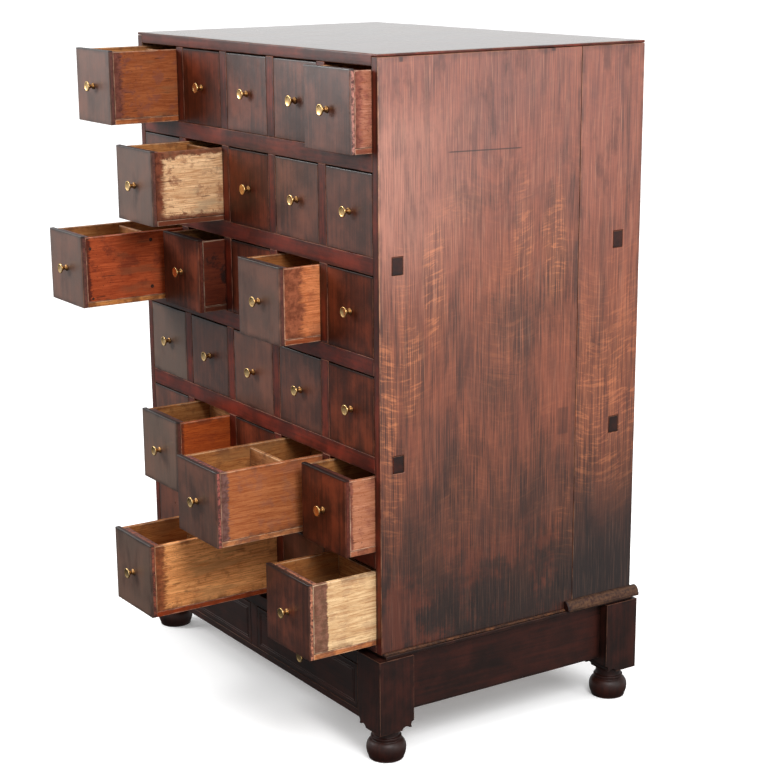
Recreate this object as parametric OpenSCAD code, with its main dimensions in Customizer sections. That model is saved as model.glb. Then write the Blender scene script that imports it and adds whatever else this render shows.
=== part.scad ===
// Apothecary cabinet: a bank of small wooden drawers over two wide base drawers, on turned bun feet.
// Millimetres. +Z is up, the drawers face -Y, and z = 0 is the floor under the feet.
// The origin lies on the floor at the middle of the whole box that the cabinet fills with its drawers as stored.

/* [Cabinet] */
// Full height, floor to top
total_h = 1200; // [1180:1:1300]
// Width across the carcase sides
carcase_w = 836; // [780:1:900]
// Depth of the carcase, front edge to back edge
carcase_d = 548; // [520:1:600]
// Height of the carcase underside above the floor
plinth_h = 197; // [190:1:215]

/* [Boards] */
// Thickness of the top board
top_t = 20; // [18:1:24]
// Depth of the lap where the top board covers the sides
top_lap = 5; // [3:1:8]
// Thickness of the bottom board
bottom_t = 14; // [12:1:18]
// Thickness of the side boards
side_t = 17; // [15:1:20]
// Thickness of the back boards
back_t = 10; // [8:1:12]
// Height of the rails between the drawer rows
rail_h = 29.5; // [24:0.5:32]
// Depth of those rails, front to back
rail_d = 52; // [50:1:60]
// Thickness of the dust boards behind the rails
dust_t = 14; // [10:1:16]
// Width of the partitions between the drawer columns
partition_w = 24; // [18:1:26]
// Distance of the side joint behind the front edge
side_joint_y = 411; // [380:1:440]

/* [Small drawers] */
// How far each drawer stands open, by row from the top and by column from the left
opened = [
    [138, 0, 0, 0, 40],
    [0, 143, 0, 0, 0],
    [210, 54, 0, 79, 0],
    [0, 0, 0, 0, 0],
    [0, 112, 0, 210, 58],
    [0, 0, 256, 0, 132],
];
// Length of a drawer, front face to back
drawer_l = 524; // [480:1:524]
// Gap between a drawer and each partition
side_gap = 1; // [0.5:0.1:2]
// Gap above a drawer front
top_gap = 2; // [1:0.1:4]
// Thickness of a drawer front
front_t = 22; // [18:1:28]
// Thickness of the lip of the front that covers the ends of the drawer sides
lip_t = 9; // [6:1:12]
// How far the drawer sides stand below the top of the front
side_drop = 3; // [1:1:6]
// Thickness of the drawer sides
wall_t = 9; // [7:1:10]
// Thickness of the drawer bottom, nailed up under the sides
floor_t = 10; // [6:1:12]
// Thickness of the cross dividers
divider_t = 7; // [5:1:8]
// Number of cross dividers in a drawer
divider_n = 3; // [1:1:3]
// Distance from the drawer's face to its first divider
divider_first = 140; // [120:1:150]
// Distance from one divider to the next
divider_pitch = 125; // [100:1:125]

/* [Knobs] */
// Drawers whose knob is lost, each by its row and column
lost_knobs = [[6, 1]];
// Diameter of the flat knob face
knob_d = 19; // [16:0.5:22]
// Distance the knob stands out from the drawer front
knob_l = 14; // [12:0.5:18]

/* [Base] */
// How far the posts stand out past the carcase sides
post_out_x = 12; // [8:1:16]
// How far the posts stand out past the carcase front
post_out_front = 12; // [8:1:16]
// How far the posts stand out past the carcase back
post_out_back = 7; // [4:1:12]
// Width of the square corner posts
post_w = 70; // [64:1:78]
// Height of the underside of the posts
post_z = 57; // [52:1:62]
// Height of the underside of the bottom rail
base_rail_z = 70; // [68:1:74]
// Height of the base drawer openings above the floor
base_open_z = 83; // [80:1:86]
// Top of the base drawer openings
base_open_top = 167; // [160:1:172]
// Top of the posts and aprons
post_top = 191; // [188:0.5:191]
// Width of the stile between the base drawers
stile_w = 24; // [20:1:30]
// Distance that the side aprons lie behind the post faces
apron_in = 20; // [12:1:24]
// Thickness of the side and back aprons
apron_t = 18; // [14:1:20]
// Front end of the sound length of right-hand moulding, behind the carcase front
moulding_break_y = 393; // [300:1:450]

/* [Feet] */
// Diameter of the bun feet
foot_d = 70; // [60:1:76]
// Height of the round part of a foot
bun_h = 36; // [32:1:40]

/* [Hidden] */
$fn = 64;
ROWS = 6;
COLS = 5;
glue = 0.1;            // glue line that keeps two boards of one assembly apart
mortise_gap = 0.3;     // play round a through tenon
run_gap = 0.4;         // gap under a drawer
knob_seat = 0.05;

open_far = max([for (row = opened) max(row)]);
box_front = -(open_far + knob_l);
box_back = carcase_d + post_out_back + 3;
front_y = -(box_front + box_back) / 2;      // the carcase front in the part's own frame

inner_w = carcase_w - 2 * side_t;
open_w = (inner_w - (COLS - 1) * partition_w) / COLS;
col_pitch = open_w + partition_w;
body_z0 = plinth_h + bottom_t;              // top of the bottom board
body_z1 = total_h - top_t;                  // underside of the top board
open_h = (body_z1 - body_z0 - (ROWS - 1) * rail_h) / ROWS;
row_pitch = open_h + rail_h;
inner_d = carcase_d - back_t;               // front edge to the inside of the back

drawer_w = open_w - 2 * side_gap;
drawer_h = open_h - top_gap - run_gap;
rear_t = 10;                                // board at the back end of a drawer
rear_drop = 12;                             // how far it stands below the sides
divider_drop = 5;                           // how far the dividers stand below the sides
wall_top = drawer_h - side_drop;

post_x = carcase_w / 2 + post_out_x;        // outer face of the posts
base_front = -post_out_front;               // front face of the posts
base_back = carcase_d + post_out_back;      // back face of the posts
base_inner_x = post_x - post_w;
base_open_w = base_inner_x - stile_w / 2;
base_drawer_w = base_open_w - 2 * side_gap;
base_drawer_h = base_open_top - base_open_z - top_gap - run_gap;
base_drawer_l = 520;
base_front_t = 22;
base_wall_t = 11;
runner_t = 9;                               // board that the base drawers run on
frame_in = 5;                               // how far the base frame lies behind the carcase front
moulding_w = post_out_x + 2;
moulding_h = 18;
ledge_w = 7;                                // stub left where the moulding is lost
ledge_h = 5;

tenon_w = 21;                               // front to back
tenon_front_y = 26;
tenon_rear_y = 488;

dark_wood = [0.20, 0.09, 0.06];
side_wood = [0.36, 0.17, 0.11];
black_wood = [0.13, 0.07, 0.05];
box_wood = [0.72, 0.45, 0.24];
back_wood = [0.40, 0.25, 0.15];
brass = [0.83, 0.66, 0.33];

CARCASE = [
    "top_board", "bottom_board",
    "left_side_front_board", "left_side_rear_board",
    "right_side_front_board", "right_side_rear_board",
    "back_boards",
    for (k = [1 : ROWS - 1]) str("shelf_", k),
    for (r = [1 : ROWS]) str("partitions_row_", r),
];
BASE = [
    "base_top_frame", "corner_posts", "front_rails", "centre_stile", "side_aprons", "back_apron",
    "runner_boards", "left_moulding", "right_moulding", "bun_feet",
];
DRAWERS = [
    for (r = [1 : ROWS]) for (c = [1 : COLS]) str("drawer_r", r, "c", c),
    "base_drawer_left", "base_drawer_right",
];

// Lower edge of the drawer opening in a row, counted from 1 at the top.
function open_z(r) = body_z1 - (r - 1) * row_pitch - open_h;
// Middle of a drawer column, counted from 1 at the left.
function col_x(c) = (c - (COLS + 1) / 2) * col_pitch;

// A box from its low corner and size, with y counted from the carcase front.
module board(low, size) {
    translate([low.x, low.y + front_y, low.z]) cube(size);
}

module top_board() color(dark_wood) union() {
    board([-carcase_w / 2, 0, total_h - top_lap], [carcase_w, carcase_d, top_lap]);
    board([-inner_w / 2 + glue, 0, body_z1], [inner_w - 2 * glue, carcase_d, top_t - top_lap + glue]);
}

module bottom_board() color(dark_wood)
    board([-inner_w / 2 + glue, 0, plinth_h], [inner_w - 2 * glue, inner_d - glue, bottom_t]);

// One board of a side, from y0 to y1, with mortises for the shelf tenons that reach it.
// hand is -1 on the left side and 1 on the right.
module side_board(hand, y0, y1, tenon_y) color(side_wood) difference() {
    board([hand * (carcase_w - side_t) / 2 - side_t / 2, y0, plinth_h],
          [side_t, y1 - y0, total_h - top_lap - glue - plinth_h]);
    for (k = [2, 4])
        board([hand * (carcase_w - side_t) / 2 - side_t, tenon_y - mortise_gap,
               open_z(k) - rail_h - mortise_gap],
              [2 * side_t, tenon_w + 2 * mortise_gap, rail_h + 2 * mortise_gap]);
}

module back_boards() {
    planks = 5;
    plank_h = (total_h - top_t - plinth_h) / planks;
    color(back_wood) for (k = [0 : planks - 1])
        board([-inner_w / 2 + glue, inner_d, plinth_h + k * plank_h],
              [inner_w - 2 * glue, back_t, plank_h - glue]);
}

// A rail across the full inner width, with a tenon through each side when the shelf has them.
module rail(y0, depth, z0, tenon_y, through) {
    board([-inner_w / 2 + glue, y0, z0], [inner_w - 2 * glue, depth, rail_h]);
    if (through)
        board([-carcase_w / 2, tenon_y, z0], [carcase_w, tenon_w, rail_h]);
}

// Shelf k lies under row k: front rail, dust board and rear rail.
module shelf(k) {
    z0 = open_z(k) - rail_h;
    through = k % 2 == 0;
    color(dark_wood) {
        rail(0, rail_d, z0, tenon_front_y, through);
        rail(inner_d - rail_d, rail_d - glue, z0, tenon_rear_y, through);
        board([-inner_w / 2 + glue, rail_d + glue, z0 + rail_h - dust_t],
              [inner_w - 2 * glue, inner_d - 2 * rail_d - 2 * glue, dust_t]);
    }
}

module partitions(r) color(dark_wood)
    for (c = [1 : COLS - 1])
        board([col_x(c) + open_w / 2, 0, open_z(r) + glue],
              [partition_w, inner_d - glue, open_h - 2 * glue]);

// Turned brass knob on the -Y side of the plane y = face_y.
module knob(x, face_y, z) {
    rim_t = 2.4;
    neck_r = 2.6;
    flange_r = 5.5;
    color(brass) translate([x, face_y + front_y - knob_seat, z]) rotate([90, 0, 0]) rotate_extrude()
        polygon([[0, 0], [flange_r, 0], [flange_r, 1.2], [neck_r, 2.6], [neck_r, 5.5],
                 [knob_d * 0.28, knob_l - 4.6], [knob_d / 2 - 0.6, knob_l - rim_t],
                 [knob_d / 2, knob_l - rim_t / 2], [knob_d / 2 - 0.5, knob_l - knob_seat],
                 [knob_d * 0.36, knob_l - 0.5], [0, knob_l - 0.8]]);
}

// An open box on a front board w wide and h high, with its face at y0 and its foot at z0. A lip of
// the front covers the ends of the sides, and the sides and bottom are let into the front behind it.
module drawer_box(x, y0, z0, w, h, l, face_t, side_w, wall_h, rear_h) {
    color(dark_wood) union() {
        board([x - w / 2, y0, z0], [w, lip_t, h]);
        board([x - w / 2 + side_w + glue, y0, z0 + floor_t + glue],
              [w - 2 * side_w - 2 * glue, face_t, wall_h - floor_t - glue]);
    }
    color(box_wood) {
        for (s = [0, 1])
            board([x - w / 2 + s * (w - side_w), y0 + lip_t + glue, z0 + floor_t + glue],
                  [side_w, l - lip_t - glue, wall_h - floor_t - glue]);
        board([x - w / 2, y0 + lip_t + glue, z0], [w, l - lip_t - glue, floor_t]);
        board([x - w / 2 + side_w + glue, y0 + l - rear_t, z0 + floor_t + glue],
              [w - 2 * side_w - 2 * glue, rear_t, rear_h - floor_t - glue]);
    }
}

module drawer(r, c) {
    y0 = -opened[r - 1][c - 1];
    z0 = open_z(r) + run_gap;
    x = col_x(c);
    drawer_box(x, y0, z0, drawer_w, drawer_h, drawer_l, front_t, wall_t, wall_top, wall_top - rear_drop);
    color(box_wood) for (k = [0 : divider_n - 1])
        board([x - drawer_w / 2 + wall_t + glue, y0 + divider_first + k * divider_pitch,
               z0 + floor_t + glue],
              [drawer_w - 2 * wall_t - 2 * glue, divider_t, wall_top - divider_drop - floor_t - glue]);
    if (len([for (lost = lost_knobs) if (lost == [r, c]) lost]) == 0) knob(x, y0, z0 + drawer_h / 2);
}

// hand is -1 for the left base drawer and 1 for the right.
module base_drawer(hand) {
    x = hand * (stile_w + base_open_w) / 2;
    z0 = base_open_z + run_gap;
    drawer_box(x, base_front, z0, base_drawer_w, base_drawer_h, base_drawer_l, base_front_t, base_wall_t,
               base_drawer_h - side_drop, base_drawer_h - rear_drop);
    knob(x, base_front, z0 + base_drawer_h / 2);
}

// Dust board over the base drawers, set back so that a shadow gap shows under the carcase.
module base_top_frame() color(black_wood)
    board([-post_x + frame_in, frame_in, post_top + glue],
          [2 * (post_x - frame_in), carcase_d - frame_in, plinth_h - post_top - 2 * glue]);

// Outline of a post's stepped foot: u counts inward from the outer corner, v is height.
module post_outline() {
    cove_r = 9;
    step_u = post_w - 16;
    difference() {
        translate([0, post_z]) square([post_w, post_top - post_z]);
        translate([post_w, post_z - 3]) square([32, 12], center = true);
        translate([step_u, post_z - 3]) circle(r = cove_r);
        translate([post_w, post_z + 8]) circle(r = 6);
    }
}

// A square post whose foot is stepped on both of its inner sides.
module corner_post() {
    intersection() {
        translate([0, post_w, 0]) rotate([90, 0, 0]) linear_extrude(post_w) post_outline();
        rotate([0, 0, 90]) mirror([0, 1, 0]) translate([0, post_w, 0]) rotate([90, 0, 0])
            linear_extrude(post_w) post_outline();
    }
}

module corner_posts() color(black_wood) translate([0, front_y, 0])
    for (sx = [-1, 1]) {
        translate([sx * post_x, base_front, 0]) mirror([sx > 0 ? 1 : 0, 0, 0]) corner_post();
        translate([sx * post_x, base_back, 0]) mirror([0, 1, 0]) mirror([sx > 0 ? 1 : 0, 0, 0])
            corner_post();
    }

module front_rails() color(black_wood) {
    rail_depth = 40;
    span = 2 * base_inner_x - 2 * glue;
    board([-span / 2, base_front, base_rail_z], [span, rail_depth, base_open_z - base_rail_z]);
    board([-span / 2, base_front, base_open_top], [span, rail_depth, post_top - base_open_top]);
}

module centre_stile() color(black_wood)
    board([-stile_w / 2, base_front, base_open_z + glue],
          [stile_w, inner_d - base_front, base_open_top - base_open_z - 2 * glue]);

module side_aprons() color(black_wood)
    for (s = [-1, 1])
        board([s * (post_x - apron_in - apron_t / 2) - apron_t / 2, base_front + post_w + glue, base_open_z],
              [apron_t, base_back - base_front - 2 * post_w - 2 * glue, post_top - base_open_z]);

module back_apron() color(back_wood)
    board([-base_inner_x + glue, inner_d + glue, base_open_z],
          [2 * (base_inner_x - glue), apron_t - 3, post_top - base_open_z]);

module runner_boards() color(back_wood)
    board([-base_inner_x + glue, base_front + 40 + glue, base_open_z - runner_t],
          [2 * (base_inner_x - glue), inner_d - base_front - 40 - glue, runner_t - glue]);

// Cross-section of the base moulding: a fillet below a quarter round.
module moulding_outline() {
    fillet_h = 5;
    square([moulding_w, fillet_h]);
    intersection() {
        translate([0, fillet_h]) circle(r = moulding_h - fillet_h);
        square([moulding_w, moulding_h]);
    }
}

// A length of moulding along a side from y0 to y1; hand is -1 on the left and 1 on the right.
module moulding(hand, y0, y1) {
    translate([hand * (carcase_w / 2 + glue), front_y + y1, plinth_h])
        mirror([hand < 0 ? 1 : 0, 0, 0]) rotate([90, 0, 0]) linear_extrude(y1 - y0) moulding_outline();
}

module left_moulding() color(black_wood) moulding(-1, base_front, box_back);

module right_moulding() color(black_wood) {
    moulding(1, moulding_break_y, box_back);
    board([carcase_w / 2 + glue, 0, plinth_h], [ledge_w, moulding_break_y - glue, ledge_h]);
}

// Turned foot on its own axis, from the floor to the underside of a post.
module bun_foot() {
    r = foot_d / 2;
    neck_r = 23;
    ring_r = 27;
    base_r = 24;
    rotate_extrude() difference() {
        union() {
            intersection() {
                translate([r - bun_h / 2, bun_h / 2]) circle(d = bun_h);
                square([r, bun_h]);
            }
            square([r - bun_h / 2, bun_h]);
            translate([0, bun_h]) square([ring_r, 6]);
            square([neck_r, post_z - glue]);
        }
        translate([base_r, -1]) square([r, 3]);
    }
}

module bun_feet() color(black_wood)
    for (sx = [-1, 1]) for (y = [base_front + post_w / 2, base_back - post_w / 2])
        translate([sx * (post_x - post_w / 2), y + front_y, 0]) bun_foot();

top_board();
bottom_board();
side_board(-1, 0, side_joint_y, tenon_front_y);  // left_side_front_board
side_board(-1, side_joint_y + mortise_gap, carcase_d, tenon_rear_y);  // left_side_rear_board
side_board(1, 0, side_joint_y, tenon_front_y);  // right_side_front_board
side_board(1, side_joint_y + mortise_gap, carcase_d, tenon_rear_y);  // right_side_rear_board
back_boards();
for (k = [1 : ROWS - 1]) shelf(k);
for (r = [1 : ROWS]) partitions(r);
base_top_frame();
corner_posts();
front_rails();
centre_stile();
side_aprons();
back_apron();
runner_boards();
left_moulding();
right_moulding();
bun_feet();
for (r = [1 : ROWS]) for (c = [1 : COLS])
    drawer(r, c);
base_drawer(-1);  // base_drawer_left
base_drawer(1);  // base_drawer_right
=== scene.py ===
"""Looks for the apothecary cabinet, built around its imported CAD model.

Lengths are in millimetres while a piece is being shaped and in metres once it is a mesh. x runs across
the cabinet, y from front to back and z up. Most pieces are unions of axis-aligned boards whose edges are
eased and whose faces waver a little, always inward, so nothing grows past the CAD solids.
"""

import math

import bmesh
import bpy
import numpy as np
from mathutils import Matrix, Vector


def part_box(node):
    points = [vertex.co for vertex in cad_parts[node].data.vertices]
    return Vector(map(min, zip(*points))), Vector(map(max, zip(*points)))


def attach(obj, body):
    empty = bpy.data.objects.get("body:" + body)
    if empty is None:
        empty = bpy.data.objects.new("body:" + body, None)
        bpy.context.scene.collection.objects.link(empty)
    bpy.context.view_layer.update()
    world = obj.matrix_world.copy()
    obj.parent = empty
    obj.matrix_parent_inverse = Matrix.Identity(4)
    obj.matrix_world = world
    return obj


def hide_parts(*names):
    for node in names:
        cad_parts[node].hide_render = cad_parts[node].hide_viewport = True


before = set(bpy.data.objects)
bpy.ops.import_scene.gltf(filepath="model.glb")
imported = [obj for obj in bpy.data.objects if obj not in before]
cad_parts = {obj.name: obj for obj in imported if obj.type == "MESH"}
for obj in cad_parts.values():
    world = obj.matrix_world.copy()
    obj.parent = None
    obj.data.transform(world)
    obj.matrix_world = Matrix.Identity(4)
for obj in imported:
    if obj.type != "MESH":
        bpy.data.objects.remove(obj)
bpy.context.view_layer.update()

MM = 0.001
SEED = 1871
rng = np.random.default_rng(SEED)

# Sizes of the CAD model, in millimetres.
ROWS, COLS = 6, 5
KNOB_L = 14.0
LIP = 9.0
FRONT_T = 22.0
SIDE_DROP = 3.0
WALL_T = 9.0
FLOOR_T = 10.0
DIVIDER_T = 7.0
DIVIDER_N = 3
DIVIDER_FIRST = 140.0
DIVIDER_PITCH = 125.0
DIVIDER_DROP = 5.0
REAR_T = 10.0
REAR_DROP = 12.0
BASE_WALL_T = 11.0
SIDE_T = 17.0
TOP_LAP = 5.0
RAIL_D = 52.0
DUST_T = 14.0
TENONED = (2, 4)
TENON_W = 21.0
TENON_FRONT_Y = 26.0
TENON_REAR_Y = 488.0
MORTISE_GAP = 0.3
BACK_PLANKS = 5
GLUE = 0.1
LEDGE_H = 5.0
FOOT_D = 70.0
GROOVE_W, GROOVE_D = 1.6, 0.9
MOULDING_FILLET = 5.0
APRON_T = 18.0
PARTITION_GAP = 1.0
MOULDING_BREAK = 393.0


def box(node):
    """Lowest and highest corner of a CAD node, in millimetres."""
    low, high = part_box(node)
    return np.array(low) / MM, np.array(high) / MM


TOP_LOW, TOP_HIGH = box("top_board")
CARCASE_W = TOP_HIGH[0] - TOP_LOW[0]
HALF_W = CARCASE_W / 2
FRONT_Y = TOP_LOW[1]
BACK_Y = TOP_HIGH[1]


def srgb(red, green, blue):
    """Linear colour of a 0 to 255 screen colour."""
    def one(c):
        c /= 255
        return c / 12.92 if c <= 0.04045 else ((c + 0.055) / 1.055) ** 2.4
    return (one(red), one(green), one(blue), 1.0)


# ---------------------------------------------------------------- materials

class Value:
    """A node's output, with arithmetic that makes more nodes."""

    def __init__(self, net, socket):
        self.net, self.socket = net, socket

    def __add__(self, other):
        return self.net.math("ADD", self, other)

    def __radd__(self, other):
        return self.net.math("ADD", other, self)

    def __sub__(self, other):
        return self.net.math("SUBTRACT", self, other)

    def __rsub__(self, other):
        return self.net.math("SUBTRACT", other, self)

    def __mul__(self, other):
        return self.net.math("MULTIPLY", self, other)

    def __truediv__(self, other):
        return self.net.math("DIVIDE", self, other)

    def __abs__(self):
        return self.net.math("ABSOLUTE", self)

    def least(self, other):
        return self.net.math("MINIMUM", self, other)

    def most(self, other):
        return self.net.math("MAXIMUM", self, other)

    def ramp(self, low, high, start=0.0, end=1.0):
        """The value between low and high, eased to start and end."""
        return self.net.node("MapRange", {"Value": self, "From Min": low, "From Max": high,
                                          "To Min": start, "To Max": end}, interpolation_type="SMOOTHSTEP")

    def mix(self, factor, top, blend="MIX"):
        """This colour with another laid over it."""
        return self.net.mix(factor, self, top, blend)


class Net:
    """Short ways to build a node tree. An input is a number, a tuple or a Value."""

    def __init__(self, tree):
        self.tree = tree

    def set(self, socket, value):
        if isinstance(value, Value):
            self.tree.links.new(value.socket, socket)
        else:
            socket.default_value = value

    def node(self, kind, inputs, out=0, **settings):
        made = self.tree.nodes.new("ShaderNode" + kind)
        for key, value in settings.items():
            setattr(made, key, value)
        for key, value in inputs.items():
            self.set(made.inputs[key], value)
        return Value(self, made.outputs[out])

    def math(self, operation, a, b=0.0, c=0.0):
        return self.node("Math", {0: a, 1: b, 2: c}, operation=operation)

    def attribute(self, name, out="Vector"):
        return self.node("Attribute", {}, out, attribute_name=name)

    def xyz(self, vector):
        split = self.node("SeparateXYZ", {0: vector})
        return [Value(self, out) for out in split.socket.node.outputs]

    def stretch(self, vector, factors):
        return self.node("VectorMath", {0: vector, 1: factors, 2: (0.0, 0.0, 0.0)}, operation="MULTIPLY_ADD")

    def noise(self, vector, scale=1.0, detail=3.0, roughness=0.5, distortion=0.0):
        return self.node("TexNoise", {"Vector": vector, "Scale": scale, "Detail": detail,
                                      "Roughness": roughness, "Distortion": distortion})

    def figure(self, grain, along, across, detail=3.0, roughness=0.5, distortion=0.0):
        """Noise that changes along times in a metre along the grain, and across times over it."""
        return self.noise(self.stretch(grain, (along, across, across)), 1.0, detail, roughness, distortion)

    def mix(self, factor, a, b, blend="MIX"):
        return self.node("Mix", {0: factor, 6: a, 7: b}, 2, data_type="RGBA", blend_type=blend)

    def bump(self, height, strength, distance, normal=None):
        inputs = {"Height": height, "Strength": strength, "Distance": distance}
        if normal is not None:
            inputs["Normal"] = normal
        return self.node("Bump", inputs)

    def edge_distance(self):
        """Metres from the nearest edge of the board."""
        place, extent = self.xyz(self.attribute("place")), self.xyz(self.attribute("extent"))
        a, b, c = (p.least(e - p) for p, e in zip(place, extent))
        return a.least(b).most(a.most(b).least(c))

    def block(self, across, up, centre, half, soft):
        """1 inside a soft-edged rectangle, given two coordinates in metres."""
        a, b = (abs(value - middle * MM).ramp(reach * MM, (reach + soft) * MM, 1.0, 0.0)
                for value, middle, reach in zip((across, up), centre, half))
        return a * b

    def oval(self, across, up, centre, half, rough):
        """1 in the middle of a soft oval, fading to 0. The coordinates are in metres, and rough disturbs its rim."""
        a, b = ((value - middle * MM) / (reach * MM)
                for value, middle, reach in zip((across, up), centre, half))
        return (a * a + b * b + rough).ramp(0.1, 1.5, 1.0, 0.0)

    def stroke(self, across, up, start, end, width):
        """1 on a thin straight scratch from start to end, given two coordinates in metres."""
        length = math.dist(start, end) * MM
        dx, dy = ((e - s) * MM / length for s, e in zip(start, end))
        u, v = across - start[0] * MM, up - start[1] * MM
        along = u * dx + v * dy
        on = along.ramp(0.0, 0.01) * along.ramp(length - 0.01, length, 1.0, 0.0)
        return on * abs(v * dx - u * dy).ramp(width * MM * 0.4, width * MM, 1.0, 0.0)


class Material(Net):
    """The nodes of one new material."""

    def __init__(self, name):
        self.material = bpy.data.materials.new(name)
        self.material.use_nodes = True
        super().__init__(self.material.node_tree)
        self.tree.nodes.clear()
        self.shader = self.tree.nodes.new("ShaderNodeBsdfPrincipled")
        output = self.tree.nodes.new("ShaderNodeOutputMaterial")
        self.tree.links.new(self.shader.outputs[0], output.inputs["Surface"])

    def finish(self, colour, roughness, normal, coat=0.0, coat_roughness=0.3, metallic=0.0, specular=0.5):
        for key, value in (("Base Color", colour), ("Roughness", roughness), ("Normal", normal),
                           ("Metallic", metallic), ("Coat Weight", coat), ("Coat Roughness", coat_roughness),
                           ("Specular IOR Level", specular)):
            self.set(self.shader.inputs[key], value)
        return self.material


def streaks(net, grain):
    """Wood figure from coarse to fine, each about 0 to 1: broad bands, streaks, pores and cloudy mottling."""
    bend = net.stretch(net.node("TexNoise", {"Vector": grain, "Scale": 5.0, "Detail": 1.0}, "Color"),
                       (0.02, 0.012, 0.012))
    bent = net.node("VectorMath", {0: grain, 1: bend}, operation="ADD")
    return (net.figure(bent, 2.2, 13.0, 2.0), net.figure(bent, 6.0, 150.0, 5.0, 0.62),
            net.figure(grain, 45.0, 1400.0, 2.0), net.noise(grain, 24.0, 5.0, 0.6))


def wear(net, reach, amount):
    """Broken-up rubbing along a board's edges, 0 to 1, and the distance from the nearest edge."""
    distance = net.edge_distance()
    patch = net.noise(net.attribute("grain"), 30.0, 4.0, 0.65)
    rubbed = distance.ramp(0.0003, reach, 1.0, 0.0).most(net.attribute("wear", "Fac"))
    return (rubbed * 0.62 + patch).ramp(0.92, 1.08) * amount, distance


def polished(name, dark, middle, light, worn_colour, gloss, worn_by=1.0, coat=0.0, coat_gloss=0.2,
             top_shade=0.0, specular=0.5):
    """Old French-polished wood: dark, mottled and rubbed through on its edges."""
    net = Material(name)
    grain = net.attribute("grain")
    broad, streak, pores, cloud = streaks(net, grain)
    lift, red, rub = net.xyz(net.attribute("tone"))
    value = broad * 0.45 + streak * 0.5 + cloud * 0.45 + lift * 0.2
    colour = net.mix(value.ramp(0.42, 0.9), dark, middle)
    mottle = net.noise(grain, 13.0, 5.0, 0.62)
    colour = colour.mix((mottle * 0.9 + streak * 0.35).ramp(0.5, 0.86), light)
    # Redness deepens a front's red, partly its own colour and partly painted shade; low redness lays a painted grey
    # reflection over it.
    colour = colour.mix(red, (1.0, 0.6, 0.42, 1.0), "MULTIPLY")
    colour = colour.mix((red + cloud * 0.3).ramp(-0.8, 0.2, 0.5, 0.0), srgb(104, 92, 80))
    colour = colour.mix(net.figure(grain, 7.0, 19.0, 4.0, 0.6).ramp(0.52, 0.7, 0.0, 0.6), dark)

    behind = net.xyz(net.attribute("place"))[1]
    raw = behind.ramp(0.0022, 0.0038) * net.attribute("raw", "Fac")
    raw_tone = net.mix(net.noise(grain, 160.0, 4.0, 0.7).ramp(0.4, 0.62), net.attribute("tint"),
                       net.attribute("stain"))
    colour = colour.mix(raw, raw_tone)
    worn, distance = wear(net, 0.0022, worn_by)
    worn = worn * (rub + 0.2)
    colour = colour.mix(worn * 0.7, worn_colour)
    turned = net.node("VectorRotate", {"Vector": grain, "Angle": math.radians(28.0)}, rotation_type="Z_AXIS")
    scratch = net.figure(turned, 9.0, 700.0, 1.0).ramp(0.77, 0.81) * cloud.ramp(0.5, 0.64)
    colour = colour.mix(scratch * 0.22, worn_colour)
    dirt = distance.ramp(0.001, 0.009, 1.0, 0.0) * cloud.ramp(0.36, 0.56) * (1.0 - worn)
    colour = colour.mix(dirt * 0.6, net.mix(1.0, dark, (0.5, 0.5, 0.5, 1.0), "MULTIPLY"))
    # Painted shade: a dark band under a front's top edge, standing for the shadow in the gap above it.
    if top_shade:
        below = net.xyz(net.attribute("extent"))[2] - net.xyz(net.attribute("place"))[2]
        colour = colour.mix(below.ramp(0.0012, 0.0042, top_shade, 0.0), srgb(12, 6, 4))

    roughness = gloss + mottle * 0.14 + worn * 0.2 + raw * 0.3
    normal = net.bump(pores * 0.5 + streak * 0.5 + scratch * -0.6, 0.22, 0.0006)
    return net.finish(colour, roughness, net.bump(cloud, 0.2, 0.002, normal), coat=coat,
                      coat_roughness=coat_gloss, specular=specular)


# Broad marks on the sides' front boards: centre and half-size in millimetres from the board's low front corner.
SIDE_DARK = {
    1: [((235, 470), (105, 130), 0.75), ((118, 345), (34, 85), 0.85), ((80, 225), (45, 60), 0.6),
        ((225, 930), (70, 70), 0.5), ((330, 250), (90, 90), 0.35), ((250, 160), (60, 70), 0.3)],
    -1: [((150, 620), (90, 160), 0.6), ((300, 300), (90, 120), 0.7), ((80, 150), (60, 60), 0.5)],
}
SIDE_FLAME = {
    1: [((110, 640), (22, 110), 0.9), ((64, 500), (26, 80), 0.7), ((358, 680), (24, 110), 0.8),
        ((292, 720), (20, 100), 0.6), ((12, 440), (22, 120), 0.9), ((150, 750), (50, 40), 0.4),
        ((390, 160), (24, 100), 0.5), ((45, 640), (18, 90), 0.5), ((20, 260), (24, 90), 0.5),
        ((250, 520), (60, 150), 0.25)],
    -1: [((90, 420), (30, 130), 0.8), ((250, 760), (60, 120), 0.6), ((360, 520), (30, 140), 0.7)],
}
# The arch that the grain of the front boards bends over: its foot's centre, and half its size.
ARCH = ((235, 400), (110, 190))


def arch_flow(net, across, up, amount):
    """Metres across the grain from the arch's middle line, bent so that streaks pass over the arch."""
    (middle, foot), (half_w, half_h) = ARCH
    u = abs((across - middle * MM) / (half_w * MM))
    v = ((up - foot * MM) / (half_h * MM)).most(0.0)
    d = net.math("SQRT", u * u + v * v)
    near = d.ramp(1.3, 2.3, 1.0, 0.0) * amount
    return (u + near * (d - u)) * (half_w * MM)


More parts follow.
